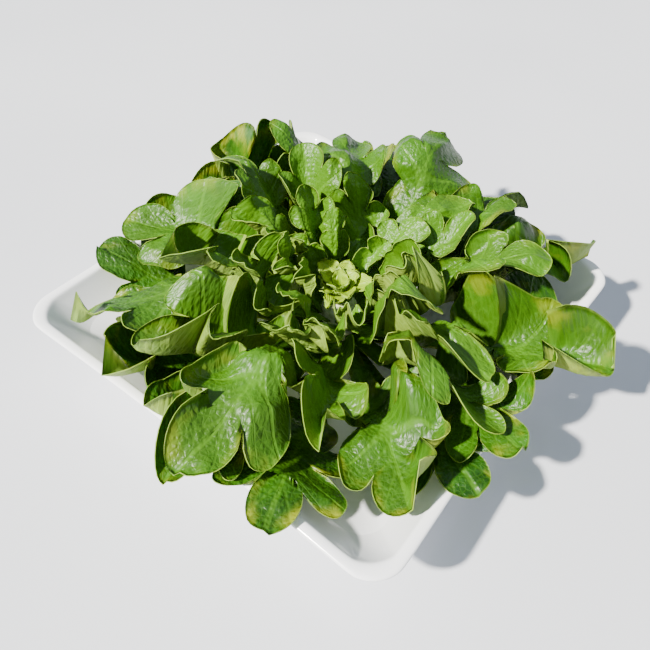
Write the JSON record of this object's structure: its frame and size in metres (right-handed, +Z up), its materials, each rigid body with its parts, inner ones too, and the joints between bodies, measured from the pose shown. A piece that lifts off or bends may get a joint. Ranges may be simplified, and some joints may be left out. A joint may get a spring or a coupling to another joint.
{
  "type": "oak-leaf lettuce head in a square dish",
  "caption": "Loose head of green oak-leaf lettuce with round-lobed leaves spreading from a short stem, lying in a shallow square white dish with round corners.",
  "frame": {"origin": "centre of the flat foot under the dish, on the ground plane", "axes": "+Z up, X and Y along the sides of the dish"},
  "size_m": [0.2524, 0.2585, 0.0883],
  "materials": {
    "porcelain": "white glaze, glossy",
    "stem_white": "moist cut stem, satin",
    "heart_green": "young leaf, waxy satin",
    "leaf_green": "blistered leaf, waxy satin"
  },
  "bodies": {
    "root": {"dish": "porcelain", "stem": "stem_white", "heart": "heart_green", "leaf_01": "leaf_green", "leaf_02": "leaf_green", "leaf_03": "leaf_green", "leaf_04": "leaf_green", "leaf_05": "leaf_green", "leaf_06": "leaf_green", "leaf_07": "leaf_green", "leaf_08": "leaf_green", "leaf_09": "leaf_green", "leaf_10": "leaf_green", "leaf_11": "leaf_green", "leaf_12": "leaf_green", "leaf_13": "leaf_green", "leaf_14": "leaf_green", "leaf_15": "leaf_green", "leaf_16": "leaf_green", "leaf_17": "leaf_green", "leaf_18": "leaf_green", "leaf_19": "leaf_green", "leaf_20": "leaf_green", "leaf_21": "leaf_green", "leaf_22": "leaf_green", "leaf_23": "leaf_green", "leaf_24": "leaf_green", "leaf_25": "leaf_green", "leaf_26": "leaf_green", "leaf_27": "leaf_green", "leaf_28": "leaf_green", "leaf_29": "leaf_green", "leaf_30": "leaf_green", "leaf_31": "leaf_green", "leaf_32": "leaf_green", "leaf_33": "leaf_green", "leaf_34": "leaf_green", "leaf_35": "leaf_green", "leaf_36": "leaf_green", "leaf_37": "leaf_green", "leaf_38": "leaf_green", "leaf_39": "leaf_green", "leaf_40": "leaf_green", "leaf_41": "leaf_green", "leaf_42": "leaf_green", "leaf_43": "leaf_green", "leaf_44": "leaf_green", "leaf_45": "leaf_green", "leaf_46": "leaf_green", "leaf_47": "leaf_green", "leaf_48": "leaf_green", "leaf_49": "leaf_green", "leaf_50": "leaf_green"}
  },
  "joints": []
}
